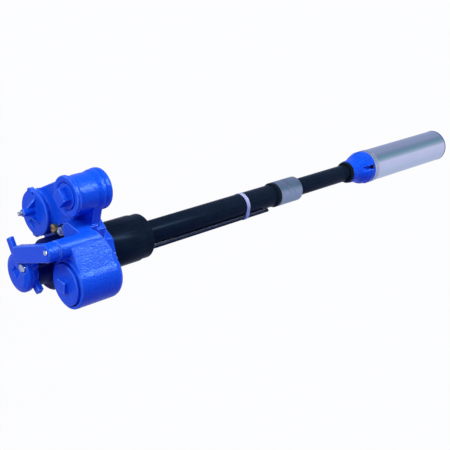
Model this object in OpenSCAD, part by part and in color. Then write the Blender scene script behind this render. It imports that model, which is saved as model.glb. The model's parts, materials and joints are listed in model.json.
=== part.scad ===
// Submersible fuel pump, upright as it hangs in a tank: the column runs along Z.
// Heights are measured from the underside of the manifold, then lifted so that the
// origin is on the column axis in the middle of the riser nipple's lower thread.

/* [Riser nipple] */
// outside radius of the four inch riser nipple
riser_r = 57.15; // [50:0.05:65]
// wall of the riser nipple
riser_wall = 6; // [4:0.5:8]
// length of the riser nipple below the manifold
riser_drop = 120; // [80:5:200]
// length of thread screwed into the manifold
riser_thread = 28; // [20:1:34]

/* [Column] */
// outside radius of the column pipe
column_r = 30.15; // [28:0.05:32]
// inside radius of the column pipe
column_bore_r = 26.25; // [24:0.05:27]
// depth of the coupling below the manifold
coupling_z = 581; // [400:5:1200]
// outside radius of the inner riser pipe
inner_r = 24.15; // [22:0.05:25]
// inside radius of the inner riser pipe
inner_bore_r = 20.45; // [18:0.05:21]
// outside radius of the upper conduit tube
conduit_r = 8.6; // [8:0.1:10]
// outside radius of the lower conduit tube
lower_conduit_r = 6.35; // [6:0.05:6.6]
// outside radius of the return tube
return_r = 4.75; // [4:0.05:6]
// outside radius of the siphon tube
siphon_r = 3.2; // [2.5:0.05:4]
// direction of the return tube round the column, degrees
return_dir = -84; // [-120:1:-60]

/* [Coupling] */
// outside radius of the coupling rings
coupling_r = 34; // [32:0.5:38]
// length of the upper coupling ring
collet_body_len = 32; // [24:1:40]
// length of the coupling nut
collet_nut_len = 52; // [36:1:60]

/* [Manifold] */
// radius of the round bowl of the manifold
bowl_r = 76; // [70:1:85]
// height of the bowl above the underside
bowl_h = 97; // [90:1:110]
// bore that takes the packer
packer_bore_r = 60; // [56:1:64]
// lower bore that takes the packer foot
foot_bore_r = 49; // [46:1:50]
// across corners radius of the bottom collar
collar_r = 70; // [62:1:76]
// outside radius of the wiring box
box_r = 56.5; // [50:0.5:65]
// inside radius of the wiring box
box_bore_r = 43; // [38:0.5:45]
// height of the wiring box rim
box_top = 183; // [160:1:200]
// height of the wiring box floor outside
box_bottom = 68; // [50:1:90]
// outside radius of the outlet branch
outlet_r = 45.5; // [40:0.5:50]
// thread radius of the two inch outlet and its top port
outlet_port_r = 30.15; // [28:0.05:32]
// height of the outlet branch mouth
outlet_bottom = 55; // [40:1:70]
// height of the outlet branch top face
outlet_top = 148; // [130:1:160]
// outside radius of the check valve chamber
valve_r = 54; // [50:0.5:60]
// inside radius of the check valve chamber
valve_bore_r = 44; // [38:0.5:46]
// height of the check valve chamber rim
valve_top = 125; // [115:1:135]

/* [Packer] */
// stud radius
stud_r = 6; // [5:0.5:8]
// thickness of the packer lugs
lug_t = 16; // [12:1:20]
// radius of the packer lugs
lug_r = 14; // [13:0.5:18]
// radius of the packer drum
drum_r = 60; // [56:1:66]
// height of the packer drum
drum_top = 152; // [130:1:160]
// radius of the packer tower
tower_r = 40; // [36:1:44]
// height of the packer tower
tower_top = 192; // [180:1:200]

/* [Yoke] */
// radius of the round yoke head
yoke_head_r = 46; // [42:1:50]
// half width of the yoke arm
arm_half = 20; // [16:1:24]
// height of the underside of the yoke arm
arm_z = 211; // [206:1:220]
// thickness of the yoke arm
arm_t = 22; // [18:1:26]

/* [Motor unit] */
// outside radius of the motor shell
shell_r = 47.6; // [44:0.1:50]
// wall of the motor shell
shell_wall = 1.6; // [1.2:0.1:2.5]
// depth of the upper end of the discharge head
head_top = 888; // [860:1:900]
// depth of the lower face of the discharge head
head_z = 967; // [960:1:1100]
// length of the clamp ring between head and shell
ring_len = 18; // [12:1:24]
// length of the motor shell
shell_len = 335; // [300:5:400]
// shaft radius
shaft_r = 8; // [6:0.5:10]
// rotor radius
rotor_r = 21; // [18:0.5:24]

/* [Hidden] */
$fn = 96;
box = [132, -30];
outlet = [140, 153];
valve = [-27, 116];
poppet_at = [-22, 123.5];
post = [150, 50];
post_top = 203;
housing_end = [104, 72];
nut_block_end = [76, 80];
arm_start = [35, 45];
yoke_mid = [6, 2];
yoke_bolt_at = [36, 15];
yoke_screw_off = [11, 3];
purge = [29, 78.5];
studs = [[50, 71], [-54, -54]];
column_end = coupling_z + 15;
nut_z = coupling_z + collet_body_len;
nut_end = nut_z + collet_nut_len;
lug_top = bowl_h + lug_t;
spring_seat = valve_top - 12.2;
yoke_head_z = arm_z - 1;
yoke_head_t = 16;
ring_z = head_z + ring_len;
shell_z = ring_z;
shell_end = ring_z + shell_len;
shell_in = shell_r - shell_wall;
stator_end = shell_end - 100;
screw_seat = head_z - 4;
screw_ring_r = 42;
origin_drop = riser_drop - 15;
return_top = 36.4;
return_low = 35.2;
siphon_top = 35;
siphon_low = 33.6;
strap_reach = return_low + (return_top - return_low) * (545 - 456.5) / 565;
strap_reach_b = siphon_low + (siphon_top - siphon_low) * (520 - 456.5) / 540;

// which sub-part to draw

module lifted() translate([0, 0, origin_drop]) children();

module rod(r, a, b) translate([0, 0, a]) cylinder(r = r, h = b - a);

module tube(ro, ri, a, b) difference() {
  rod(ro, a, b);
  rod(ri, a - 1, b + 1);
}

module cone(ra, rb, a, b) translate([0, 0, a]) cylinder(r1 = ra, r2 = rb, h = b - a);

module at(p) translate([p[0], p[1], 0]) children();

// straight web between two round bosses, just inside their tangents
module web(p, rp, q, rq, a, b) {
  d = norm(q - p);
  t = atan2(q[1] - p[1], q[0] - p[0]);
  w = acos((rp - rq) / d);
  translate([0, 0, a]) linear_extrude(b - a) polygon([
    p + rp * [cos(t + w), sin(t + w)], p + rp * [cos(t - w), sin(t - w)],
    q + rq * [cos(t - w), sin(t - w)], q + rq * [cos(t + w), sin(t + w)]]);
}

// bore lying flat from p to q at height z
module cross_bore(p, q, r, z) {
  t = atan2(q[1] - p[1], q[0] - p[0]);
  translate([p[0], p[1], z]) rotate([0, 90, t]) cylinder(r = r, h = norm(q - p));
}

module hex(af, a, b) translate([0, 0, a]) cylinder(r = af / sqrt(3), h = b - a, $fn = 6);

// outside of the wiring box, with a rounded lower end
module box_outside() at(box) rotate_extrude() polygon(concat(
  [[0, box_bottom]],
  [for (k = [0 : 6]) [box_r - 20 + 20 * sin(15 * k), box_bottom + 20 - 20 * cos(15 * k)]],
  [[box_r, box_top - 2], [box_r - 2, box_top], [0, box_top]]));

// bar of width w lying from p to q
module bar(p, q, w, a, b) translate([p[0], p[1], a]) rotate([0, 0, atan2(q[1] - p[1], q[0] - p[0])])
  translate([0, -w / 2, 0]) cube([norm(q - p), w, b - a]);

// outside of the outlet branch: lip, groove and bead of the mouth, waist and plug boss
module outlet_outside() at(outlet) rotate_extrude() polygon([
  [0, outlet_bottom], [outlet_r - 3, outlet_bottom], [outlet_r, outlet_bottom + 3],
  [outlet_r + 1, outlet_bottom + 7], [outlet_r + 1, outlet_bottom + 14],
  [outlet_r - 1, outlet_bottom + 18], [outlet_r, outlet_bottom + 23],
  [outlet_r - 1, outlet_bottom + 27], [outlet_r - 4, outlet_bottom + 36],
  [outlet_r - 4.5, outlet_top - 14], [outlet_r - 3, outlet_top - 11],
  [outlet_r, outlet_top - 9], [outlet_r, outlet_top - 1.5],
  [outlet_r - 1.5, outlet_top], [0, outlet_top]]);

module valve_outside() at(valve) rotate_extrude() polygon([
  [0, 34], [valve_r - 16, 34], [valve_r - 7, 38], [valve_r - 2, 46], [valve_r - 2, valve_top - 16],
  [valve_r, valve_top - 14], [valve_r, valve_top], [0, valve_top]]);

// octagon collar round the riser thread, chamfered at its lower end
module collar_outside() rotate([0, 0, 22.5]) {
  cylinder(r1 = collar_r - 3, r2 = collar_r + 3, h = 7, $fn = 8);
  translate([0, 0, 6.9]) cylinder(r = collar_r + 3, h = 23, $fn = 8);
}

// housing of the lead passage between post and wiring box, with the wall behind the packer nut
module lead_housing() {
  web(post, 21, box, box_r - 1, 84, box_top - 5);
  at(post) rod(21.5, 84, post_top);
  web(box, box_r - 1, housing_end, 22, 60, 118);
  at(housing_end) rod(22.5, 60, 138);
  web(post, 20, housing_end, 22, 84, 138);
  web(housing_end, 22, nut_block_end, 10, 104, 127);
  at(nut_block_end) rod(10.5, 90, 127);
}

module manifold_body() color("royalblue") lifted() difference() {
  union() {
    rod(bowl_r, 26, bowl_h);
    collar_outside();
    box_outside();
    outlet_outside();
    valve_outside();
    lead_housing();
    web([0, 0], bowl_r - 1, box, box_r - 1, box_bottom + 10, bowl_h);
    web([0, 0], 56, 0.6 * box, 36, 44, box_bottom + 16);
    web([0, 0], bowl_r - 1, outlet, outlet_r - 8, 74, bowl_h);
    web([0, 0], bowl_r - 1, valve, valve_r - 3, 42, bowl_h);
    web(valve, valve_r - 3, outlet, outlet_r - 3, 70, 119);
    at(purge) rod(17, 90, 120);
    for (s = studs) at(s) rod(18, 44, bowl_h);
  }
  // packer bores, the flow gallery and the riser thread
  rod(riser_r, -1, riser_thread);
  rod(foot_bore_r, riser_thread - 1, 52);
  rod(packer_bore_r, 48, bowl_h + 30);
  rod(packer_bore_r + 5.5, 54, 80);
  // clearance for the packer drum and lugs
  rod(packer_bore_r + 3.5, bowl_h, 140);
  for (s = studs) {
    at(s) rod(lug_r + 1, bowl_h, 140);
    web([0, 0], 26, s, lug_r + 0.5, bowl_h, 140);
    at(s) rod(stud_r, bowl_h - 30, bowl_h + 1);
  }
  // wiring box: thread, seal ledge and the gap round the cap
  at(box) rod(box_bore_r, box_bottom + 9, box_top + 1);
  at(box) rod(box_bore_r + 3.1, box_top - 8, box_top + 1);
  at(box) rod(box_bore_r + 6, box_top - 6, box_top + 1);
  at(box) rod(13.35, box_bottom - 1, box_bottom + 12);
  // lead passage from the yoke post to the wiring box
  at(post) rod(15, 110, post_top + 1);
  cross_bore(post, box, 12, 128);
  // check valve chamber and its inlet
  at(valve) rod(valve_bore_r, 76, valve_top + 1);
  at(poppet_at) rod(34, 66, 78);
  at(poppet_at) rod(30, 46, 68);
  cross_bore([0, 0], poppet_at, 13, 60);
  // way to the outlet branch
  cross_bore(valve, outlet, 20, 92);
  at(outlet) rod(outlet_port_r, outlet_bottom - 1, outlet_bottom + 24);
  at(outlet) rod(29, outlet_bottom + 22, outlet_top - 18);
  at(outlet) rod(28, outlet_top - 20, outlet_top + 1);
  at(outlet) rod(33, outlet_top - 4, outlet_top + 1);
  // purge screw thread and its way to the check valve chamber
  at(purge) rod(6, 88, 126);
  cross_bore(purge, valve, 2.5, 91);
}

module riser_nipple() color("#15181d") lifted() difference() {
  union() {
    rod(riser_r, -riser_drop + 28, riser_thread);
    rod(riser_r - 2, -riser_drop + 2, -riser_drop + 29);
    cone(riser_r - 3.5, riser_r - 2, -riser_drop, -riser_drop + 2);
  }
  rod(riser_r - riser_wall, -riser_drop - 1, riser_thread + 1);
}

module wiring_box_cap() color("royalblue") lifted() at(box) difference() {
  union() {
    rod(box_bore_r - 0.05, box_top - 22, box_top - 6);
    rotate_extrude() polygon([[0, box_top - 6], [box_bore_r + 3.5, box_top - 6],
      [box_bore_r + 3.5, box_top + 4.5], [box_bore_r + 2, box_top + 6], [0, box_top + 6]]);
    rotate([0, 0, -21]) translate([-13.5, -13.5, box_top + 5]) cube([27, 27, 12]);
  }
  rod(box_bore_r - 6, box_top - 23, box_top - 9);
}

module wiring_box_seal() color("#20242a") lifted() at(box)
  tube(box_bore_r + 3, box_bore_r + 0.3, box_top - 8, box_top - 6);

// pipe plug with a square head
module outlet_plug() color("royalblue") lifted() at(outlet) {
  rod(28, outlet_top - 18, outlet_top - 1);
  rotate([0, 0, 27]) translate([-16, -16, outlet_top - 2]) cube([32, 32, 20]);
}

module check_valve_cover() color("royalblue") lifted() at(valve) difference() {
  union() {
    rod(valve_bore_r, valve_top - 14, valve_top);
    rotate_extrude() polygon([[0, valve_top], [valve_r, valve_top], [valve_r, valve_top + 10],
      [valve_r - 2, valve_top + 12], [0, valve_top + 12]]);
    for (k = [94, -113]) rotate([0, 0, k]) translate([valve_r - 8, -8, valve_top]) cube([13, 16, 11]);
    at(poppet_at - valve) {
      rod(9, valve_top + 11, valve_top + 44);
      for (k = [60, 180, 285]) rotate([0, 0, k]) rotate([90, 0, 0])
        translate([0, valve_top + 11.5, -3]) linear_extrude(6)
          polygon([[6, 0], [36, 0], [8.5, 24], [6, 24]]);
    }
  }
  at(poppet_at - valve) rod(5.05, valve_top - 15, valve_top + 45);
  at(poppet_at - valve) rod(31, valve_top - 15, valve_top - 9);
  // pocket by the rim
  rotate([0, 0, 76]) translate([46, 0, 0]) rod(4, valve_top + 5, valve_top + 13);
  rotate([0, 0, 230]) translate([0, 0, valve_top + 6]) linear_extrude(7)
    polygon([[14, 9], [40, 14], [34, -10], [16, -6]]);
}

module check_valve_cover_seal() color("#20242a") lifted() at(valve)
  tube(valve_bore_r - 0.2, valve_bore_r - 4, valve_top - 17, valve_top - 14);

// slotted screw with the spring's upper seat at its lower end
module lockdown_screw() color("#c9ccd0") lifted() at(poppet_at) difference() {
  union() {
    rod(5, spring_seat, valve_top + 53);
    rod(12.5, spring_seat, spring_seat + 3);
  }
  rod(3.7, spring_seat - 1, spring_seat + 12);
  translate([-6, -0.9, valve_top + 50]) cube([12, 1.8, 4]);
}

module check_valve_poppet() color("#b98b3c") lifted() at(poppet_at) {
  rod(34 - 3, 77, 83);
  rod(3.2, 82, 92);
  for (k = [0, 120, 240]) rotate([0, 0, k]) translate([0, -1.5, 60]) cube([24.5, 3, 17.5]);
  rod(4, 60, 78);
}

// coil of square wire, wound by twisting a sector of a ring
module check_valve_spring() color("#b8bcc2") lifted() at(poppet_at) translate([0, 0, 83.1])
  linear_extrude(height = spring_seat - 83.2, twist = -1800, slices = 90, $fn = 16) polygon(concat(
    [for (k = [0 : 4]) 9.6 * [cos(35 * k), sin(35 * k)]],
    [for (k = [4 : -1 : 0]) 12 * [cos(35 * k), sin(35 * k)]]));

module check_valve_seat() color("#c8a04a") lifted() at(poppet_at) tube(34, 25, 66, 77);

module purge_screw() color("#c79a3a") lifted() at(purge) difference() {
  union() {
    rod(5.95, 92, 121);
    rod(10.5, 120, 130);
  }
  translate([-11, -1.6, 127]) cube([22, 3.2, 4]);
}

module packer_studs() color("#c9ccd0") lifted() for (s = studs) at(s) rod(stud_r, bowl_h - 28, 130);

module packer_washers() color("#c9ccd0") lifted() for (s = studs) at(s)
  tube(12, stud_r, lug_top, lug_top + 2.5);

module packer_nuts() color("#d5d8dc") lifted() for (s = studs) at(s) difference() {
  hex(19, lug_top + 2.5, lug_top + 12.5);
  rod(stud_r, lug_top, lug_top + 20);
}

module packer_body() color("#1c3fb0") lifted() difference() {
  union() {
    rod(packer_bore_r - 0.1, 80, bowl_h);
    rod(52, 48, 81);
    rod(foot_bore_r - 0.1, riser_thread + 2, 49);
    rod(drum_r, bowl_h, drum_top - 6);
    cone(drum_r, drum_r - 6, drum_top - 6, drum_top);
    for (s = studs) {
      at(s) rod(lug_r, bowl_h, lug_top);
      web([0, 0], 24, s, lug_r - 0.5, bowl_h, lug_top);
    }
    rod(tower_r, drum_top - 2, tower_top);
    at(yoke_bolt_at) rod(10, drum_top - 2, tower_top);
  }
  // column thread, flow passage, side ports
  rod(column_r, 0, 50);
  rod(column_bore_r, 48, 76);
  for (k = [30, 90, 150, 210, 270, 330]) rotate([0, 0, k]) translate([20, 0, 63]) rotate([0, 90, 0])
    cylinder(r = 9, h = 40);
  // conduit way up to the tower
  rod(conduit_r, 70, 150);
  rod(24, 134, tower_top + 1);
  for (s = studs) at(s) rod(stud_r + 0.6, bowl_h - 1, lug_top + 1);
  // seal grooves
  translate([0, 0, 88]) tube(packer_bore_r + 1, packer_bore_r - 4, -2.2, 2.2);
  translate([0, 0, 40]) tube(foot_bore_r + 1, foot_bore_r - 3.4, -2, 2);
  // sockets of the two side tubes
  return_line(return_r, 0);
  rotate([0, 0, return_dir]) translate([return_top, 0, 34]) cylinder(r = 2.5, h = 16);
  siphon_line(siphon_r, 0);
  rotate([0, 0, return_dir + 20]) translate([siphon_top, 0, 34]) cylinder(r = 1.8, h = 16);
  // thread of the yoke bolt
  at(yoke_bolt_at) rod(4, tower_top - 30, tower_top + 1);
}

module packer_upper_seal() color("#20242a") lifted() translate([0, 0, 88])
  rotate_extrude() translate([packer_bore_r - 2, 0]) circle(r = 1.9, $fn = 20);

module packer_lower_seal() color("#20242a") lifted() translate([0, 0, 40])
  rotate_extrude() translate([foot_bore_r - 1.7, 0]) circle(r = 1.6, $fn = 20);

module tower_cap() color("royalblue") lifted() difference() {
  union() {
    rod(tower_r - 1, tower_top, arm_z - 1);
    at(yoke_bolt_at) rod(10, tower_top, arm_z - 1);
    bar([-43, 76], [-25, 8], 20, tower_top + 2, tower_top + 14);
    bar([39, -47], [6, 0], 19, tower_top, tower_top + 14);
  }
  rod(24, tower_top - 1, arm_z);
  at(yoke_bolt_at) rod(5, tower_top - 1, arm_z);
}

module conduit_socket() color("#2a2d33") lifted() difference() {
  rod(24, 150, 186);
  for (k = [0, 90, 180, 270]) rotate([0, 0, k]) translate([9, 0, 0]) rod(2.6, 160, 187);
}

module yoke() color("royalblue") lifted() difference() {
  union() {
    at(yoke_mid) rotate_extrude() polygon([[0, yoke_head_z], [yoke_head_r, yoke_head_z],
      [yoke_head_r, yoke_head_z + yoke_head_t - 4], [yoke_head_r - 4, yoke_head_z + yoke_head_t],
      [0, yoke_head_z + yoke_head_t]]);
    at(yoke_mid) rod(36, yoke_head_z + 2, yoke_head_z + yoke_head_t + 3);
    at(arm_start) rod(arm_half, arm_z, arm_z + arm_t);
    at(post) rotate_extrude() polygon([[0, post_top], [arm_half + 1, post_top],
      [arm_half + 1, arm_z + arm_t - 5], [arm_half - 0.5, arm_z + arm_t - 1.5],
      [arm_half - 4, arm_z + arm_t], [0, arm_z + arm_t]]);
    web(arm_start, arm_half - 0.5, post, arm_half - 0.5, arm_z, arm_z + arm_t);
    at(post) rod(14.95, post_top - 20, post_top + 1);
  }
  // lead channel, from the disc along the arm
  rod(20, yoke_head_z - 1, yoke_head_z + 10);
  web([0, 0], 8.2, arm_start, 8.2, yoke_head_z + 4, yoke_head_z + 10.5);
  at(arm_start) rod(8.4, yoke_head_z + 4, yoke_head_z + 10.7);
  web(arm_start, 8.2, post, 8.2, yoke_head_z + 4, yoke_head_z + 10.5);
  at(post) rod(9, post_top - 21, yoke_head_z + 11);
  // bolt counterbore and the pocket beside it
  at(yoke_bolt_at) rod(5, yoke_head_z - 1, yoke_head_z + 30);
  at(yoke_bolt_at) rod(11.5, yoke_head_z + 12, yoke_head_z + 30);
  translate([0, 0, yoke_head_z + 13]) linear_extrude(8) polygon([[-9, 11], [3, -11], [21, 4], [12, 15]]);
  at([4, 15]) rod(3.5, yoke_head_z + 11.5, yoke_head_z + 20);
  // end screw
  at(post + yoke_screw_off) rod(3, arm_z + arm_t - 12, arm_z + arm_t + 1);
}

module conduit_plug() color("#34373d") lifted() {
  difference() {
    rod(19.9, yoke_head_z - 22, yoke_head_z + 3);
    rod(6, yoke_head_z - 10, yoke_head_z + 4);
  }
  for (k = [0, 90, 180, 270]) rotate([0, 0, k]) translate([9, 0, 0]) rod(2.2, 168, yoke_head_z - 21);
}

module yoke_bolt() color("#d5d8dc") lifted() at(yoke_bolt_at) {
  rod(4, tower_top - 28, yoke_head_z + 13);
  hex(17, yoke_head_z + 12, yoke_head_z + 21);
}

module yoke_screw() color("#d5d8dc") lifted() at(post + yoke_screw_off) {
  rod(3, arm_z + arm_t - 11, arm_z + arm_t);
  rod(5.5, arm_z + arm_t, arm_z + arm_t + 3);
}

module yoke_leads() color("#8c2f26") lifted() {
  cross_bore([0, 0], arm_start, 2.6, yoke_head_z + 7);
  cross_bore(arm_start, post, 2.6, yoke_head_z + 7);
  at(post) rod(2.6, 132, yoke_head_z + 7);
  rod(2.6, yoke_head_z - 9, yoke_head_z + 7);
  for (p = [[0, 0], arm_start, post]) at(p) translate([0, 0, yoke_head_z + 7]) sphere(r = 2.75, $fn = 24);
}

module column_pipe() color("#14171c") lifted() tube(column_r, column_bore_r, -column_end, 49);

module upper_conduit() color("#8d9299") lifted() tube(conduit_r, 6.9, -570, 148);

// straight small tube leaning in from the packer foot to the column
module side_tube(dir, ro, ri, a, b) rotate([0, 0, dir]) translate([ri, 0, b])
  rotate([0, atan2(ro - ri, a - b), 0]) children();

module return_line(r, over) side_tube(return_dir, return_top, return_low, 20, -545)
  translate([0, 0, -over]) cylinder(r = r, h = 581 + over);

module siphon_line(r, over) side_tube(return_dir + 20, siphon_top, siphon_low, 20, -520)
  translate([0, 0, -over]) cylinder(r = r, h = 556 + over);

module return_tube() color("#14171c") lifted() difference() {
  return_line(return_r, 0);
  side_tube(return_dir, return_top, return_low, 20, -545) translate([0, 0, -1])
    cylinder(r = return_r - 0.9, h = 583);
}

module siphon_tube() color("#14171c") lifted() difference() {
  siphon_line(siphon_r, 0);
  side_tube(return_dir + 20, siphon_top, siphon_low, 20, -520) translate([0, 0, -1])
    cylinder(r = siphon_r - 0.8, h = 558);
}

module tube_strap() color("#b9b4cf") lifted() translate([0, 0, -462]) linear_extrude(11) difference() {
  hull() {
    circle(r = column_r + 1.1);
    rotate(return_dir) translate([strap_reach, 0]) circle(r = return_r + 1.3);
    rotate(return_dir + 20) translate([strap_reach_b, 0]) circle(r = siphon_r + 1.3);
  }
  circle(r = column_r + 0.05);
  hull() {
    rotate(return_dir) translate([strap_reach, 0]) circle(r = return_r + 0.12);
    rotate(return_dir) translate([26, 0]) circle(r = return_r + 0.05);
  }
  hull() {
    rotate(return_dir + 20) translate([strap_reach_b, 0]) circle(r = siphon_r + 0.12);
    rotate(return_dir + 20) translate([26, 0]) circle(r = siphon_r + 0.05);
  }
}

module column_end_ring() color("#181b20") lifted() difference() {
  union() {
    rod(coupling_r, -coupling_z, -coupling_z + 9);
    cone(coupling_r, column_r + 1, -coupling_z + 9, -coupling_z + 13);
  }
  rod(column_r, -coupling_z - 1, -coupling_z + 14);
}

module collet_body() color("#8f8ca3") lifted() difference() {
  union() {
    rod(coupling_r, -nut_z, -coupling_z);
    rod(31, -nut_z - 20, -nut_z + 1);
  }
  rod(column_r, -column_end, -coupling_z + 1);
  rod(inner_r + 0.35, -nut_z - 21, -column_end + 1);
  rod(28, -nut_z - 21, -nut_z - 6);
}

module collet_nut() color("#8f8ca3") lifted() difference() {
  rotate_extrude() polygon([[0, -nut_end], [coupling_r - 3, -nut_end], [coupling_r, -nut_end + 3],
    [coupling_r, -nut_z], [0, -nut_z]]);
  rod(31.05, -nut_z - 21, -nut_z + 1);
  rod(28, -nut_z - 34, -nut_z - 19);
  rod(inner_r + 0.4, -nut_end - 1, -nut_z);
}

module collet() color("#9a9da3") lifted() difference() {
  rod(27.7, -nut_z - 33.8, -nut_z - 14);
  rod(inner_r + 0.05, -nut_z - 40, -nut_z);
  translate([0, -1, -nut_z - 40]) cube([40, 2, 50]);
}

module inner_pipe_seal() color("#20242a") lifted() tube(27.9, inner_r + 0.05, -nut_z - 13.8, -nut_z - 6);

module inner_pipe() color("#14171c") lifted() tube(inner_r, inner_bore_r, -head_top - 5, -300);

module lower_conduit() color("#8d9299") lifted() tube(lower_conduit_r, 5, -head_z + 10, -300);

module motor_cable() color("#3a3d42") lifted() rod(3.6, -head_z + 4, 149);

module pipe_collar() color("#202a2c") lifted() difference() {
  union() {
    rod(31.5, -head_top, -head_top + 6);
    cone(31.5, 28, -head_top + 6, -head_top + 10);
  }
  rod(inner_r, -head_top - 1, -head_top + 11);
}

// wedge whose point faces the axis
module wedge(from_r, to_r, half, a, b) translate([0, 0, a]) linear_extrude(b - a)
  polygon([[from_r, 0], [to_r, half], [to_r, -half]]);

module discharge_head() color("#0f2f9c") lifted() difference() {
  rotate_extrude() polygon([[0, -head_top], [31.5, -head_top], [33, -head_top - 3], [33.5, -head_top - 16],
    [36, -head_top - 28], [41.5, -head_top - 41], [45.5, -head_top - 52], [46.5, -head_top - 59],
    [48.5, -head_top - 61], [48.5, -head_z], [0, -head_z]]);
  rod(inner_r, -head_top - 5, -head_top + 1);
  rod(20.4, -head_top - 30, -head_top - 4);
  // flow passages round the middle boss
  difference() {
    union() {
      rod(33, -head_z - 1, -head_top - 52);
      cone(33, 20.4, -head_top - 52.1, -head_top - 29);
    }
    rod(14.5, -head_z - 2, -head_top - 24);
    for (k = [0 : 3]) rotate([0, 0, 45 + 90 * k]) translate([0, -5, -head_z - 2]) cube([60, 10, 70]);
  }
  rod(lower_conduit_r, -head_z + 10, -head_top - 3);
  rod(10, -head_z - 1, -head_z + 10.1);
  // wedge pockets of the head screws
  for (k = [0 : 3]) rotate([0, 0, 90 * k]) {
    wedge(36, 60, 15, -screw_seat, -head_top + 1);
    translate([screw_ring_r, 0, 0]) rod(2.6, -head_z - 1, -screw_seat + 1);
    translate([screw_ring_r, 0, 0]) rod(6.1, -screw_seat, -head_top + 1);
  }
}

module head_screws() color("#23262b") lifted() for (k = [0 : 3]) rotate([0, 0, 90 * k])
  translate([screw_ring_r, 0, 0]) {
    rod(2.6, -ring_z + 2, -screw_seat + 1);
    difference() {
      rod(5.6, -screw_seat, -screw_seat + 6);
      hex(5, -screw_seat + 3, -screw_seat + 7);
    }
  }

// clamp ring with two turned grooves
module clamp_ring() color("#b6b8bd") lifted() difference() {
  rod(48.6, -ring_z, -head_z);
  rod(36, -ring_z - 1, -head_z + 1);
  for (d = [5, 11]) tube(50, 47.7, -head_z - d - 1.5, -head_z - d);
  for (k = [0 : 3]) rotate([0, 0, 90 * k]) translate([screw_ring_r, 0, 0]) rod(2.6, -ring_z + 1, -head_z + 1);
}

module motor_plug() color("#2a2d33") lifted() difference() {
  union() {
    rod(9.9, -head_z - 10, -head_z + 3);
    rod(14, -head_z - 30, -head_z - 9);
  }
  rod(3.6, -head_z - 1, -head_z + 4);
}

module motor_shell() color("#c9ccd2") lifted() tube(shell_r, shell_in, -shell_end, -shell_z);

module bracket(a, b, hub, bore) difference() {
  rod(shell_in, a, b);
  rod(bore, a - 1, b + 1);
  for (k = [0 : 5]) rotate([0, 0, 30 + 60 * k]) translate([(shell_in + hub) / 2, 0, 0])
    rod((shell_in - hub) / 2 - 2.5, a - 1, b + 1);
}

module upper_bearing_bracket() color("#7d8187") lifted() difference() {
  bracket(-shell_z - 38, -shell_z - 18, 24, 13);
  rod(14, -shell_z - 24, -shell_z - 17);
}

module upper_bearing() color("#55585e") lifted() tube(13, shaft_r + 0.05, -shell_z - 38, -shell_z - 26);

module stator() color("#a05a2c") lifted() tube(40.5, rotor_r + 0.4, -stator_end, -shell_z - 38);

module rotor() color("#9a9da3") lifted() tube(rotor_r, shaft_r, -stator_end + 10, -shell_z - 48);

module shaft() color("#c9ccd0") lifted() rod(shaft_r, -shell_end + 10, -shell_z - 24.5);

module lower_bearing_bracket() color("#7d8187") lifted() difference() {
  bracket(-stator_end - 18, -stator_end, 22, 13);
  rod(18, -stator_end - 9, -stator_end + 1);
}

module lower_bearing() color("#55585e") lifted() tube(13, shaft_r + 0.05, -stator_end - 18, -stator_end - 9);

module thrust_bearing() color("#6d7076") lifted() tube(17.5, shaft_r, -stator_end - 8.8, -stator_end - 3);

stage_z = [stator_end + 22, stator_end + 52];

module diffusers() color("#4a4d54") lifted() for (z = stage_z) difference() {
  rod(shell_in, -z - 28, -z);
  rod(35, -z - 29, -z - 9);
  rod(shaft_r + 3, -z - 30, -z + 1);
  for (k = [0 : 7]) rotate([0, 0, 45 * k]) translate([27, 0, 0]) rod(6, -z - 10, -z + 1);
}

module impellers() color("#c9b27a") lifted() for (z = stage_z) difference() {
  union() {
    rod(34, -z - 13, -z - 10);
    rod(34, -z - 25, -z - 22);
    rod(13, -z - 25, -z - 10);
    for (k = [0 : 5]) rotate([0, 0, 60 * k]) translate([12, -1.2, -z - 23]) rotate([0, 0, -25])
      cube([21, 2.4, 11]);
  }
  rod(shaft_r, -z - 30, -z);
  difference() {
    rod(19, -z - 26, -z - 21.5);
    rod(13, -z - 27, -z - 20);
  }
}

module inlet_end() color("#12256b") lifted() difference() {
  union() {
    rod(shell_in, -shell_end, -shell_end + 16);
    rotate_extrude() polygon([[0, -shell_end - 6], [shell_r - 3, -shell_end - 6],
      [shell_r + 0.4, -shell_end - 3], [shell_r + 0.4, -shell_end], [0, -shell_end]]);
  }
  rod(shaft_r + 4, -shell_end + 4, -shell_end + 17);
  rod(36, -shell_end - 7, -shell_end + 1);
  for (k = [0 : 7]) rotate([0, 0, 45 * k]) translate([26, 0, 0]) rod(7.5, -shell_end, -shell_end + 17);
}

module inlet_screen() color("#a7abb1") lifted() translate([0, 0, -shell_end - 5]) difference() {
  cylinder(r = 36, h = 2);
  for (i = [-3 : 3], j = [-3 : 3]) if (norm([i, j]) < 3.6) translate([9 * i, 9 * j, -1])
    cylinder(r = 3, h = 4, $fn = 24);
}

manifold_body();
riser_nipple();
wiring_box_cap();
wiring_box_seal();
outlet_plug();
check_valve_cover();
check_valve_cover_seal();
lockdown_screw();
check_valve_poppet();
check_valve_spring();
check_valve_seat();
purge_screw();
packer_studs();
packer_nuts();
packer_washers();
packer_body();
packer_upper_seal();
packer_lower_seal();
tower_cap();
conduit_socket();
yoke();
conduit_plug();
yoke_bolt();
yoke_screw();
yoke_leads();
column_pipe();
upper_conduit();
return_tube();
siphon_tube();
tube_strap();
column_end_ring();
collet_body();
collet_nut();
collet();
inner_pipe_seal();
inner_pipe();
lower_conduit();
motor_cable();
pipe_collar();
discharge_head();
head_screws();
clamp_ring();
motor_plug();
motor_shell();
upper_bearing_bracket();
upper_bearing();
stator();
rotor();
shaft();
lower_bearing_bracket();
lower_bearing();
thrust_bearing();
diffusers();
impellers();
inlet_end();
inlet_screen();
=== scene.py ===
import json
import math

import bmesh
import bpy
from mathutils import Matrix, Vector

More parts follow.
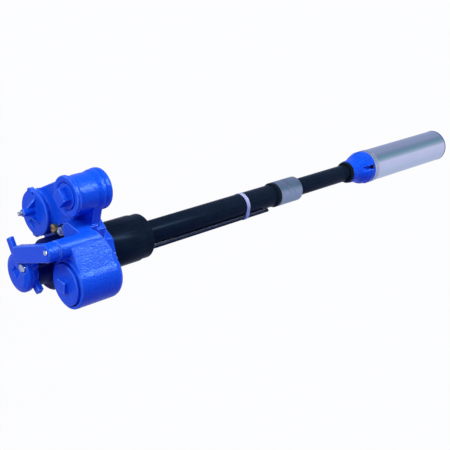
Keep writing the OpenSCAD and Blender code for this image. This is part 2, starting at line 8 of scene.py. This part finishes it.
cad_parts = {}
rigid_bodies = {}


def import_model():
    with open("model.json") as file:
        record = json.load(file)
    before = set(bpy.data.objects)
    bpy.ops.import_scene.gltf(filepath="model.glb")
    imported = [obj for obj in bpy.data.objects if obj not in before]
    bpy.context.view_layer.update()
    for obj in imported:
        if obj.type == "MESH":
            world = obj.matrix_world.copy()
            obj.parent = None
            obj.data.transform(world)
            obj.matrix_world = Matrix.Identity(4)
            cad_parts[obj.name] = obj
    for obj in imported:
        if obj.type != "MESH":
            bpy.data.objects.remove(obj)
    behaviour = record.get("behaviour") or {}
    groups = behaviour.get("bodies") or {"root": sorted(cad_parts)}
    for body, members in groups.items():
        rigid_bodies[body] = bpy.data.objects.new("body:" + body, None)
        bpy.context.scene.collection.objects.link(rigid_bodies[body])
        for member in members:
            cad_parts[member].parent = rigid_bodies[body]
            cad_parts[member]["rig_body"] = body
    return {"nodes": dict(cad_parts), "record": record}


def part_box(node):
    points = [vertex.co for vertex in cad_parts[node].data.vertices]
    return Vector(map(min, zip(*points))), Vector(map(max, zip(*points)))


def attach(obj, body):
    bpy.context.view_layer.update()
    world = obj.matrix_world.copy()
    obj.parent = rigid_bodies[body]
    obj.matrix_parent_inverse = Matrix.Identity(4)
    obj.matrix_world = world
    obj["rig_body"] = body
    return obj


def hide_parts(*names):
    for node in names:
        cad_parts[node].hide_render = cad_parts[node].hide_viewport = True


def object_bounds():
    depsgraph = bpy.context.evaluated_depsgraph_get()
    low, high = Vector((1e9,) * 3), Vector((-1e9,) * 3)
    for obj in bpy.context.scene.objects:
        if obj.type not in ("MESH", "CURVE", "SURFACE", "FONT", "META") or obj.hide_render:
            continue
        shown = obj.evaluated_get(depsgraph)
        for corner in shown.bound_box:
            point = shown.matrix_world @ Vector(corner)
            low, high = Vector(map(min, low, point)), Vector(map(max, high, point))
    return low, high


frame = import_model()
nodes = frame["nodes"]
cad_low, cad_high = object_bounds()
bpy.context.scene.view_settings.view_transform = "Standard"

# Bore of the motor shell in metres.
SHELL_BORE = 0.0460

# Height of the manifold's underside in metres. Places given in mm have their heights from there.
UNDERSIDE = 0.105

# The carved lower edge of the lead housing in mm: where each step starts and ends in y, with its heights.
HOUSING_STEPS = [((9, 70), (22.05, 84)), ((22, 84), (43.05, 92)),
                 ((43, 92), (68.05, 104)), ((68, 104), (95, 113))]
HOUSING_OUTSIDE = 210
HOUSING_BELOW = 30

# The slanting side where that carving starts, in mm: its x at one y, and how much x grows with y.
HOUSING_SIDE_X = 86
HOUSING_SIDE_Y = -14
HOUSING_SLANT = 0.63

# The wiring box in mm: its centre, and where and how its lower end is rounded.
BOX_CENTRE = (132, -30)
BOX_FLAT = 36.5
BOX_ROUNDING = 20.2
BOX_CORNER = 88

# The cutter of that rounding: how far down and out it reaches in mm, and its sector in degrees.
ROUNDING_BELOW = 40
ROUNDING_OUTSIDE = 66
ROUNDING_START = -25
ROUNDING_END = 62

# How far the floor lies under the pump and reaches to each side, in metres, and how bright it is seen.
FLOOR_DROP = 0.30
FLOOR_REACH = 8.0
FLOOR_WHITE = 0.97


# Stage

def set_camera():
    """The photograph's camera, as fitted to the edges of the three pipes; returns its three axes."""
    data = bpy.data.cameras.new("photo_camera")
    data.sensor_width = 36.0
    data.lens = 74.4
    data.clip_start, data.clip_end = 0.05, 30.0
    camera = bpy.data.objects.new("photo_camera", data)
    bpy.context.scene.collection.objects.link(camera)
    right = Vector((0.655913, -0.178681, -0.733383))
    up = Vector((0.0, 0.971579, -0.236715))
    back = Vector((0.754836, 0.155264, 0.637272))
    turn = Matrix((right, up, back)).transposed().to_4x4()
    camera.matrix_world = Matrix.Translation((1.84169, 0.33939, 1.27032)) @ turn
    bpy.context.scene.camera = camera
    return right, up, back


# What polished metal mirrors: azimuth round the column in degrees, and the colour that comes from there.
SURROUNDINGS = [
    (-180, (0.50, 0.54, 0.74)), (-92, (0.48, 0.56, 0.78)), (-40, (0.57, 0.63, 0.90)), (2, (0.62, 0.66, 0.94)),
    (10, (0.42, 0.52, 0.70)), (18, (0.33, 0.46, 0.62)), (30, (0.22, 0.36, 0.50)), (44, (0.17, 0.31, 0.43)),
    (60, (0.21, 0.29, 0.46)), (80, (0.28, 0.35, 0.55)), (125, (0.32, 0.38, 0.60)), (160, (0.36, 0.42, 0.62)),
    (180, (0.50, 0.54, 0.74))]


def set_world():
    """White for the camera, a soft blue on dull surfaces, and the surroundings for polished ones."""
    world = bpy.data.worlds.new("studio")
    bpy.context.scene.world = world
    world.use_nodes = True
    tree = world.node_tree
    tree.nodes.clear()
    link = tree.links.new
    out = tree.nodes.new("ShaderNodeOutputWorld")
    path = tree.nodes.new("ShaderNodeLightPath")
    soft = tree.nodes.new("ShaderNodeBackground")
    soft.inputs["Color"].default_value = (0.10, 0.22, 1.0, 1.0)
    soft.inputs["Strength"].default_value = 0.58
    gloss = tree.nodes.new("ShaderNodeBackground")
    where = tree.nodes.new("ShaderNodeTexCoord")
    split = tree.nodes.new("ShaderNodeSeparateXYZ")
    azimuth = tree.nodes.new("ShaderNodeMath")
    azimuth.operation = "ARCTAN2"
    spread = tree.nodes.new("ShaderNodeMapRange")
    spread.inputs["From Min"].default_value = -math.pi
    spread.inputs["From Max"].default_value = math.pi
    ramp = tree.nodes.new("ShaderNodeValToRGB")
    while len(ramp.color_ramp.elements) < len(SURROUNDINGS):
        ramp.color_ramp.elements.new(0.5)
    for element, (angle, colour) in zip(ramp.color_ramp.elements, SURROUNDINGS):
        element.position = (angle + 180.0) / 360.0
        element.color = (*colour, 1.0)
    link(where.outputs["Generated"], split.inputs[0])
    link(split.outputs["Y"], azimuth.inputs[0])
    link(split.outputs["X"], azimuth.inputs[1])
    link(azimuth.outputs[0], spread.inputs["Value"])
    link(spread.outputs["Result"], ramp.inputs["Fac"])
    link(ramp.outputs["Color"], gloss.inputs["Color"])
    white = tree.nodes.new("ShaderNodeBackground")
    white.inputs["Color"].default_value = (1.0, 1.0, 1.0, 1.0)
    first = tree.nodes.new("ShaderNodeMixShader")
    second = tree.nodes.new("ShaderNodeMixShader")
    link(path.outputs["Is Glossy Ray"], first.inputs["Fac"])
    link(soft.outputs[0], first.inputs[1])
    link(gloss.outputs[0], first.inputs[2])
    link(path.outputs["Is Camera Ray"], second.inputs["Fac"])
    link(first.outputs[0], second.inputs[1])
    link(white.outputs[0], second.inputs[2])
    link(second.outputs[0], out.inputs["Surface"])


def area_light(name, place, target, size, power, colour=(1.0, 1.0, 1.0), length=None):
    """A soft lamp that faces target; with a length it is a strip that runs along the column."""
    data = bpy.data.lights.new(name, "AREA")
    data.shape = "DISK" if length is None else "RECTANGLE"
    data.size = size
    if length is not None:
        data.size_y = length
    data.energy = power
    data.color = colour
    lamp = bpy.data.objects.new(name, data)
    bpy.context.scene.collection.objects.link(lamp)
    facing = (Vector(place) - Vector(target)).normalized()
    side = Vector((0.0, 0.0, 1.0)).cross(facing).normalized()
    turn = Matrix((side, facing.cross(side), facing)).transposed()
    lamp.matrix_world = Matrix.Translation(place) @ turn.to_4x4()
    return lamp


def set_lights(right, up, back):
    """A key strip and two fills for plain light, and a strip seen in gloss alone; returns that strip."""
    head = Vector((0.03, 0.03, 0.20))
    middle = Vector((0.0, 0.0, -0.25))
    key = area_light("key", (1.26, 1.46, -1.15), (0.0, 0.0, -0.2), 0.45, 56.0, length=2.4)
    key.visible_glossy = False
    sheen = area_light("sheen", (1.70, 0.90, -0.85), (0.0, 0.0, 0.2), 0.20, 66.0,
                       colour=(0.85, 0.93, 1.0), length=1.1)
    sheen.visible_diffuse = False
    for fill in (area_light("front_fill", middle + back * 2.8 + up * 0.8, middle, 1.2, 4.0),
                 area_light("head_fill", head + back * 1.3 - right * 0.9 + up * 0.7, head, 0.7, 15.0)):
        fill.visible_glossy = False
    return sheen


def set_floor():
    """A pale floor that the camera sees near white and that still takes the pump's shadow."""
    mesh = bpy.data.meshes.new("floor")
    z = cad_low.z - FLOOR_DROP
    corners = [(x * FLOOR_REACH, y * FLOOR_REACH, z) for x, y in ((-1, -1), (1, -1), (1, 1), (-1, 1))]
    mesh.from_pydata(corners, [], [(0, 1, 2, 3)])
    floor = bpy.data.objects.new("floor", mesh)
    bpy.context.scene.collection.objects.link(floor)
    paint = bpy.data.materials.new("pale_floor")
    paint.use_nodes = True
    tree = paint.node_tree
    tree.nodes.clear()
    out = tree.nodes.new("ShaderNodeOutputMaterial")
    body = tree.nodes.new("ShaderNodeBsdfDiffuse")
    body.inputs["Color"].default_value = (0.9, 0.9, 0.9, 1.0)
    glow = tree.nodes.new("ShaderNodeEmission")
    glow.inputs["Strength"].default_value = 1.0
    path = tree.nodes.new("ShaderNodeLightPath")
    seen = tree.nodes.new("ShaderNodeMath")
    seen.operation = "MULTIPLY"
    seen.inputs[1].default_value = FLOOR_WHITE
    mix = tree.nodes.new("ShaderNodeMixShader")
    clear = tree.nodes.new("ShaderNodeBsdfTransparent")
    mirrored = tree.nodes.new("ShaderNodeMixShader")
    tree.links.new(path.outputs["Is Camera Ray"], seen.inputs[0])
    tree.links.new(seen.outputs[0], mix.inputs["Fac"])
    tree.links.new(body.outputs[0], mix.inputs[1])
    tree.links.new(glow.outputs[0], mix.inputs[2])
    # metal mirrors the studio past the floor
    tree.links.new(path.outputs["Is Glossy Ray"], mirrored.inputs["Fac"])
    tree.links.new(mix.outputs[0], mirrored.inputs[1])
    tree.links.new(clear.outputs[0], mirrored.inputs[2])
    tree.links.new(mirrored.outputs[0], out.inputs["Surface"])
    mesh.materials.append(paint)


# Finishes

def new_group(name, inputs, outputs):
    """An empty node group with the named sockets, and its two end nodes."""
    group = bpy.data.node_groups.new(name, "ShaderNodeTree")
    for label, kind, value in inputs:
        socket = group.interface.new_socket(name=label, in_out="INPUT", socket_type=kind)
        if value is not None:
            socket.default_value = value
    for label, kind in outputs:
        group.interface.new_socket(name=label, in_out="OUTPUT", socket_type=kind)
    return group, group.nodes.new("NodeGroupInput"), group.nodes.new("NodeGroupOutput")


def make_grain_group():
    """Uneven surface: a fine and a coarse noise, out as a mask and as a height."""
    group, given, result = new_group(
        "surface_grain",
        [("Fine", "NodeSocketFloat", 900.0), ("Coarse", "NodeSocketFloat", 60.0),
         ("Balance", "NodeSocketFloat", 0.5)],
        [("Mask", "NodeSocketFloat"), ("Height", "NodeSocketFloat")])
    where = group.nodes.new("ShaderNodeTexCoord")
    fine = group.nodes.new("ShaderNodeTexNoise")
    fine.inputs["Detail"].default_value = 3.0
    coarse = group.nodes.new("ShaderNodeTexNoise")
    coarse.inputs["Detail"].default_value = 2.0
    mix = group.nodes.new("ShaderNodeMix")
    mix.data_type = "FLOAT"
    link = group.links.new
    for tex, label in ((fine, "Fine"), (coarse, "Coarse")):
        link(where.outputs["Object"], tex.inputs["Vector"])
        link(given.outputs[label], tex.inputs["Scale"])
    link(given.outputs["Balance"], mix.inputs[0])
    link(fine.outputs["Fac"], mix.inputs[2])
    link(coarse.outputs["Fac"], mix.inputs[3])
    link(mix.outputs[0], result.inputs["Height"])
    link(coarse.outputs["Fac"], result.inputs["Mask"])
    return group


def make_edge_group():
    """Mask for the lighter edge tint, which paints edge highlights and also stands for wear: high where the
    surface is sharply convex, broken up by noise.
    """
    group, given, result = new_group(
        "edge_wear",
        [("Start", "NodeSocketFloat", 0.52), ("End", "NodeSocketFloat", 0.60),
         ("Break Up", "NodeSocketFloat", 80.0)],
        [("Mask", "NodeSocketFloat")])
    shape = group.nodes.new("ShaderNodeNewGeometry")
    pick = group.nodes.new("ShaderNodeMapRange")
    where = group.nodes.new("ShaderNodeTexCoord")
    speckle = group.nodes.new("ShaderNodeTexNoise")
    mul = group.nodes.new("ShaderNodeMath")
    mul.operation = "MULTIPLY"
    link = group.links.new
    link(shape.outputs["Pointiness"], pick.inputs["Value"])
    link(given.outputs["Start"], pick.inputs["From Min"])
    link(given.outputs["End"], pick.inputs["From Max"])
    link(where.outputs["Object"], speckle.inputs["Vector"])
    link(given.outputs["Break Up"], speckle.inputs["Scale"])
    link(pick.outputs["Result"], mul.inputs[0])
    link(speckle.outputs["Fac"], mul.inputs[1])
    link(mul.outputs[0], result.inputs["Mask"])
    return group


grain_group = make_grain_group()
edge_group = make_edge_group()


def finish_of(name, dark, light, rough=(0.3, 0.45), metal=0.0, coat=0.0, coat_rough=0.1,
              fine=900.0, coarse=60.0, balance=0.5, bump=0.1, depth=0.0004,
              edge_highlight_and_wear=None, highlight_and_wear_range=(0.52, 0.60), specular=0.5, tint=(1.0, 1.0, 1.0)):
    """One material: two tones spread by grain, an uneven gloss, a bump and a lighter edge tint that paints
    edge highlights and also stands for wear.
    """
    paint = bpy.data.materials.new(name)
    paint.use_nodes = True
    tree = paint.node_tree
    body = tree.nodes["Principled BSDF"]
    body.inputs["Metallic"].default_value = metal
    body.inputs["Coat Weight"].default_value = coat
    body.inputs["Coat Roughness"].default_value = coat_rough
    body.inputs["Specular IOR Level"].default_value = specular
    body.inputs["Specular Tint"].default_value = (*tint, 1.0)
    grain = tree.nodes.new("ShaderNodeGroup")
    grain.node_tree = grain_group
    grain.inputs["Fine"].default_value = fine
    grain.inputs["Coarse"].default_value = coarse
    grain.inputs["Balance"].default_value = balance
    tone = tree.nodes.new("ShaderNodeMix")
    tone.data_type = "RGBA"
    tone.inputs[6].default_value = (*dark, 1.0)
    tone.inputs[7].default_value = (*light, 1.0)
    link = tree.links.new
    link(grain.outputs["Mask"], tone.inputs[0])
    colour = tone.outputs[2]
    # sharp convex edges take the lighter tint: painted edge highlight, partly also wear
    if edge_highlight_and_wear is not None:
        edges = tree.nodes.new("ShaderNodeGroup")
        edges.node_tree = edge_group
        edges.inputs["Start"].default_value, edges.inputs["End"].default_value = highlight_and_wear_range
        over = tree.nodes.new("ShaderNodeMix")
        over.data_type = "RGBA"
        over.inputs[7].default_value = (*edge_highlight_and_wear, 1.0)
        link(edges.outputs["Mask"], over.inputs[0])
        link(colour, over.inputs[6])
        colour = over.outputs[2]
    link(colour, body.inputs["Base Color"])
    gloss = tree.nodes.new("ShaderNodeMapRange")
    gloss.inputs["To Min"].default_value, gloss.inputs["To Max"].default_value = rough
    link(grain.outputs["Mask"], gloss.inputs["Value"])
    link(gloss.outputs["Result"], body.inputs["Roughness"])
    dent = tree.nodes.new("ShaderNodeBump")
    dent.inputs["Strength"].default_value = bump
    dent.inputs["Distance"].default_value = depth
    link(grain.outputs["Height"], dent.inputs["Height"])
    link(dent.outputs["Normal"], body.inputs["Normal"])
    return paint


# the pale blue edge tint is a painted edge highlight, not wear
blue_enamel = finish_of(
    "blue_enamel", (0.004, 0.080, 0.64), (0.009, 0.116, 0.77), rough=(0.17, 0.25), specular=0.22,
    tint=(0.36, 0.74, 1.0), fine=320.0, coarse=130.0, balance=0.3, bump=1.0, depth=0.0013,
    edge_highlight_and_wear=(0.34, 0.66, 1.0), highlight_and_wear_range=(0.516, 0.568))
# the packer's blue is darkened to paint the deep shade that falls on it between the other castings
packer_enamel_painted_shade = finish_of(
    "packer_enamel_painted_shade", (0.001, 0.006, 0.06), (0.002, 0.012, 0.13), rough=(0.35, 0.5), specular=0.1,
    fine=300.0, coarse=45.0, bump=0.4, depth=0.0008)
dark_enamel = finish_of(
    "dark_blue_enamel", (0.003, 0.02, 0.16), (0.006, 0.035, 0.24), rough=(0.3, 0.42), coat=0.2,
    fine=420.0, coarse=50.0, bump=0.2, depth=0.0005, edge_highlight_and_wear=(0.05, 0.12, 0.5))
# the pale edge tint paints thin edge highlights
black_pipe = finish_of(
    "black_pipe_coating", (0.005, 0.010, 0.017), (0.009, 0.017, 0.027), rough=(0.24, 0.34), metal=0.0,
    specular=0.026, tint=(0.35, 0.60, 1.0), fine=700.0, coarse=35.0, balance=0.4, bump=0.12, depth=0.0003,
    edge_highlight_and_wear=(0.12, 0.13, 0.14), highlight_and_wear_range=(0.55, 0.66))
# the pale edge tint paints thin edge highlights
collar_finish = finish_of(
    "collar_coating", (0.004, 0.008, 0.010), (0.009, 0.014, 0.018), rough=(0.22, 0.32), specular=0.1,
    fine=600.0, coarse=40.0, bump=0.15, depth=0.0003, edge_highlight_and_wear=(0.10, 0.14, 0.16), highlight_and_wear_range=(0.62, 0.72))
# the lighter edge tint paints highlight lines on the chamfers and seam
coupling_finish = finish_of(
    "coupling_coating", (0.27, 0.32, 0.37), (0.40, 0.47, 0.53), rough=(0.24, 0.34), metal=0.9,
    fine=800.0, coarse=40.0, bump=0.15, depth=0.0003, edge_highlight_and_wear=(0.5, 0.55, 0.62), highlight_and_wear_range=(0.53, 0.62))
strap_finish = finish_of(
    "band_plastic", (0.42, 0.44, 0.55), (0.55, 0.56, 0.68), rough=(0.4, 0.55), fine=600.0, coarse=70.0,
    bump=0.1, depth=0.0002)
zinc_finish = finish_of(
    "bright_zinc", (0.62, 0.66, 0.68), (0.80, 0.83, 0.84), rough=(0.22, 0.38), metal=0.9, fine=900.0,
    coarse=160.0, bump=0.1, depth=0.0002, edge_highlight_and_wear=(0.9, 0.9, 0.92), highlight_and_wear_range=(0.52, 0.6))
dark_screw_finish = finish_of(
    "black_oxide", (0.012, 0.013, 0.016), (0.03, 0.032, 0.04), rough=(0.3, 0.45), metal=0.7, fine=900.0,
    coarse=150.0, bump=0.1, depth=0.0002, edge_highlight_and_wear=(0.2, 0.2, 0.22))
brass_finish = finish_of(
    "turned_brass", (0.50, 0.32, 0.09), (0.72, 0.50, 0.18), rough=(0.25, 0.4), metal=0.9, fine=900.0,
    coarse=140.0, bump=0.1, depth=0.0002, edge_highlight_and_wear=(0.9, 0.75, 0.4))
rubber_finish = finish_of(
    "seal_rubber", (0.012, 0.012, 0.013), (0.022, 0.022, 0.024), rough=(0.55, 0.7), fine=900.0,
    coarse=90.0, bump=0.15, depth=0.0002)
moulded_finish = finish_of(
    "moulded_black", (0.025, 0.025, 0.028), (0.04, 0.04, 0.044), rough=(0.4, 0.55), fine=900.0,
    coarse=90.0, bump=0.1, depth=0.0002)
red_lead = finish_of(
    "red_lead", (0.30, 0.02, 0.012), (0.42, 0.035, 0.02), rough=(0.45, 0.6), fine=900.0, coarse=90.0,
    bump=0.08, depth=0.0002)
shell_finish = finish_of(
    "polished_stainless", (0.74, 0.75, 0.78), (0.82, 0.83, 0.86), rough=(0.06, 0.10), metal=1.0,
    fine=260.0, coarse=14.0, balance=0.4, bump=0.03, depth=0.0002)
spring_finish = finish_of(
    "spring_wire", (0.5, 0.51, 0.53), (0.62, 0.63, 0.65), rough=(0.25, 0.35), metal=1.0, fine=900.0,
    coarse=150.0, bump=0.05, depth=0.0001)
carbon_finish = finish_of(
    "carbon_bushing", (0.03, 0.03, 0.033), (0.05, 0.05, 0.055), rough=(0.35, 0.5), fine=900.0,
    coarse=120.0, bump=0.1, depth=0.0002)
iron_finish = finish_of(
    "laminated_iron", (0.16, 0.16, 0.17), (0.25, 0.25, 0.27), rough=(0.35, 0.5), metal=0.8, fine=900.0,
    coarse=60.0, bump=0.15, depth=0.0003)
bracket_finish = finish_of(
    "machined_casting", (0.24, 0.25, 0.26), (0.36, 0.37, 0.38), rough=(0.32, 0.48), metal=0.8,
    fine=800.0, coarse=60.0, bump=0.15, depth=0.0003)
stage_finish = finish_of(
    "acetal", (0.62, 0.54, 0.34), (0.72, 0.64, 0.44), rough=(0.35, 0.45), fine=900.0, coarse=80.0,
    bump=0.06, depth=0.0002)
diffuser_finish = finish_of(
    "diffuser_plastic", (0.10, 0.11, 0.12), (0.16, 0.17, 0.19), rough=(0.4, 0.5), fine=900.0,
    coarse=80.0, bump=0.08, depth=0.0002)
ring_finish = finish_of(
    "machined_ring", (0.55, 0.57, 0.60), (0.68, 0.70, 0.73), rough=(0.25, 0.35), metal=0.8, fine=900.0,
    coarse=80.0, bump=0.08, depth=0.0002, edge_highlight_and_wear=(0.85, 0.86, 0.88))
screen_finish = finish_of(
    "perforated_sheet", (0.40, 0.41, 0.43), (0.52, 0.53, 0.55), rough=(0.3, 0.42), metal=1.0,
    fine=900.0, coarse=80.0, bump=0.08, depth=0.0002)
conduit_finish = finish_of(
    "drawn_tube", (0.38, 0.39, 0.41), (0.48, 0.49, 0.51), rough=(0.3, 0.42), metal=1.0, fine=900.0,
    coarse=60.0, bump=0.08, depth=0.0002)

FINISHES = {
    "blue_casting": blue_enamel, "packer_casting": packer_enamel_painted_shade, "motor_head_casting": dark_enamel,
    "black_pipe": black_pipe, "coupling_steel": coupling_finish, "strap_plastic": strap_finish,
    "zinc_steel": zinc_finish, "dark_screw": dark_screw_finish, "brass": brass_finish,
    "seal_rubber": rubber_finish, "connector_plastic": moulded_finish, "cable_rubber": rubber_finish,
    "lead_rubber": red_lead, "polished_steel": shell_finish, "spring_steel": spring_finish,
    "bearing_carbon": carbon_finish, "motor_iron": iron_finish, "bracket_iron": bracket_finish,
    "stage_plastic": stage_finish, "diffuser_plastic": diffuser_finish, "light_ring": ring_finish,
    "collar_steel": collar_finish, "screen_steel": screen_finish, "conduit_steel": conduit_finish,
}
SLOT_OF = {entry["node"]: entry["material_slot"] for entry in frame["record"]["subparts"]}


def dress_nodes():
    """Gives every CAD node the finish of its slot, for those that keep showing."""
    for name, piece in nodes.items():
        piece.data.materials.clear()
        piece.data.materials.append(FINISHES[SLOT_OF[name]])


# Shaping

def take_place(piece, node):
    """Rides the piece on the node's body, hides the node and gives the piece its finish."""
    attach(piece, nodes[node]["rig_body"])
    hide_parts(node)
    if not piece.data.materials:
        piece.data.materials.append(FINISHES[SLOT_OF[node]])
    return piece


def at_mm(x, y, z):
    """A point in metres from a place in mm."""
    return x / 1000.0, y / 1000.0, z / 1000.0 + UNDERSIDE


def into_mesh(shape, mesh):
    """Writes the shape into the mesh and lets go of the shape."""
    shape.to_mesh(mesh)
    shape.free()
    return mesh


def link_mesh(name, mesh):
    piece = bpy.data.objects.new(name, mesh)
    bpy.context.scene.collection.objects.link(piece)
    return piece


def keep_result(piece):
    """Turns the modifiers' result into the piece's own mesh."""
    graph = bpy.context.evaluated_depsgraph_get()
    graph.update()
    made = bpy.data.meshes.new_from_object(piece.evaluated_get(graph))
    old = piece.data
    piece.modifiers.clear()
    piece.data = made
    bpy.data.meshes.remove(old)
    return piece


def turned_block(name, centre, profile, start, end, steps=24):
    """A closed sector turned round an upright axis; profile holds (radius, height) in mm."""
    shape = bmesh.new()
    rings = []
    for k in range(steps + 1):
        angle = math.radians(start + (end - start) * k / steps)
        across, along = math.cos(angle), math.sin(angle)
        rings.append([shape.verts.new(at_mm(centre[0] + r * across, centre[1] + r * along, z))
                      for r, z in profile])
    count = len(profile)
    for one, other in zip(rings, rings[1:]):
        for k in range(count):
            shape.faces.new((one[k], other[k], other[(k + 1) % count], one[(k + 1) % count]))
    shape.faces.new(rings[0])
    shape.faces.new(rings[-1][::-1])
    bmesh.ops.triangulate(shape, faces=shape.faces)
    bmesh.ops.recalc_face_normals(shape, faces=shape.faces)
    return link_mesh(name, into_mesh(shape, bpy.data.meshes.new(name)))


def prism(name, plan, low, high):
    """A closed upright block; plan is its outline in mm, high the top's height over each corner."""
    shape = bmesh.new()
    floor = [shape.verts.new(at_mm(x, y, low)) for x, y in plan]
    roof = [shape.verts.new(at_mm(x, y, z)) for (x, y), z in zip(plan, high)]
    shape.faces.new(floor[::-1])
    shape.faces.new(roof)
    count = len(plan)
    for k in range(count):
        shape.faces.new((floor[k], floor[(k + 1) % count], roof[(k + 1) % count], roof[k]))
    bmesh.ops.triangulate(shape, faces=shape.faces)
    return link_mesh(name, into_mesh(shape, bpy.data.meshes.new(name)))


def cast_piece(node, voxel=0.0018, soften=4, carve=()):
    """A casting with the rounded edges and fillets that a sand mould leaves, less the carved blocks."""
    mesh = nodes[node].data.copy()
    piece = link_mesh(node + "_cast", mesh)
    for k, cutter in enumerate(carve):
        cut = piece.modifiers.new("carve_%d" % k, "BOOLEAN")
        cut.operation = "DIFFERENCE"
        cut.solver = "EXACT"
        cut.object = cutter
    grid = piece.modifiers.new("grid", "REMESH")
    grid.mode = "VOXEL"
    grid.voxel_size = voxel
    ease = piece.modifiers.new("ease", "SMOOTH")
    ease.factor = 0.5
    ease.iterations = soften
    keep_result(piece)
    for cutter in carve:
        bpy.data.objects.remove(cutter)
    piece.data.shade_smooth()
    return take_place(piece, node)


def machined_piece(node):
    """A machined piece with small even chamfers on its edges."""
    mesh = nodes[node].data.copy()
    piece = link_mesh(node + "_part", mesh)
    shape = bmesh.new()
    shape.from_mesh(mesh)
    bmesh.ops.remove_doubles(shape, verts=shape.verts, dist=0.00002)
    bmesh.ops.dissolve_limit(shape, angle_limit=math.radians(0.6), verts=shape.verts, edges=shape.edges)
    into_mesh(shape, mesh)
    edge = piece.modifiers.new("edge", "BEVEL")
    edge.width = 0.0006
    edge.segments = 2
    edge.limit_method = "ANGLE"
    edge.angle_limit = math.radians(35.0)
    edge.harden_normals = True
    keep_result(piece)
    piece.data.shade_smooth()
    piece.data.set_sharp_from_angle(angle=math.radians(40))
    return take_place(piece, node)


def polished_tube(node, bore, chamfer=0.0005, steps=192):
    """A turned tube whose long faces have even normals, so that it mirrors without ripples."""
    low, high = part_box(node)
    radius = (high[0] - low[0]) / 2.0
    bottom, top = low[2], high[2]
    rim = 0.002
    profile = [(bore, bottom), (radius - chamfer, bottom), (radius, bottom + chamfer), (radius, bottom + rim),
               (radius, top - rim), (radius, top - chamfer), (radius - chamfer, top), (bore, top)]
    shape = bmesh.new()
    rings = []
    for k in range(steps):
        angle = 2.0 * math.pi * k / steps
        rings.append([shape.verts.new((r * math.cos(angle), r * math.sin(angle), z)) for r, z in profile])
    count = len(profile)
    for k in range(steps):
        one, other = rings[k], rings[(k + 1) % steps]
        for j in range(count):
            shape.faces.new((one[j], other[j], other[(j + 1) % count], one[(j + 1) % count]))
    bmesh.ops.recalc_face_normals(shape, faces=shape.faces)
    mesh = into_mesh(shape, bpy.data.meshes.new(node + "_part"))
    mesh.shade_smooth()
    mesh.set_sharp_from_angle(angle=math.radians(30))
    return take_place(link_mesh(node + "_part", mesh), node)


def housing_inner_side(y):
    """How far out in mm the lead housing's carving starts at this y."""
    return HOUSING_SIDE_X + HOUSING_SLANT * (y - HOUSING_SIDE_Y)


def housing_step(name, near, far):
    """One block under the housing's lower edge; near and far give y and the edge's height there, in mm."""
    (near_y, near_top), (far_y, far_top) = near, far
    plan = [(housing_inner_side(near_y), near_y), (HOUSING_OUTSIDE, near_y),
            (HOUSING_OUTSIDE, far_y), (housing_inner_side(far_y), far_y)]
    return prism(name, plan, HOUSING_BELOW, (near_top, near_top, far_top, far_top))


def housing_cutters():
    """What the lead housing loses below: its edge climbs from the wiring box, clear of the collar."""
    cutters = [housing_step("edge_%d" % k, near, far) for k, (near, far) in enumerate(HOUSING_STEPS)]
    # and it follows the rounded lower end of the box
    angles = [math.radians(15 * k) for k in range(7)]
    rounding = [(BOX_FLAT + BOX_ROUNDING * math.sin(angle), BOX_CORNER - BOX_ROUNDING * math.cos(angle))
                for angle in angles]
    profile = [(BOX_FLAT, ROUNDING_BELOW)] + rounding
    profile += [(ROUNDING_OUTSIDE, BOX_CORNER), (ROUNDING_OUTSIDE, ROUNDING_BELOW)]
    return cutters + [turned_block("rounding", BOX_CENTRE, profile, ROUNDING_START, ROUNDING_END)]


# The pump

right, up, back = set_camera()
set_world()
sheen = set_lights(right, up, back)
set_floor()
dress_nodes()

enamelled = [cast_piece("manifold_body", carve=housing_cutters())]
enamelled += [cast_piece(casting) for casting in ("wiring_box_cap", "check_valve_cover", "tower_cap")]
enamelled += [cast_piece("yoke", soften=8), cast_piece("outlet_plug", voxel=0.0009, soften=3)]
cast_piece("packer_body")
cast_piece("discharge_head", voxel=0.0011, soften=2)

for turned in ("column_end_ring", "collet_body", "collet_nut", "pipe_collar", "clamp_ring", "inlet_end"):
    machined_piece(turned)
polished_tube("motor_shell", bore=SHELL_BORE)
shiny = [machined_piece(turned) for turned in (
    "riser_nipple", "column_pipe", "inner_pipe", "lockdown_screw", "purge_screw", "yoke_bolt", "yoke_screw",
    "packer_nuts", "packer_washers", "packer_studs")]

# the strip lamp puts its sheen on the castings, pipes and screws alone
lit = bpy.data.collections.new("sheen_receivers")
for piece in enamelled + shiny:
    lit.objects.link(piece)
sheen.light_linking.receiver_collection = lit
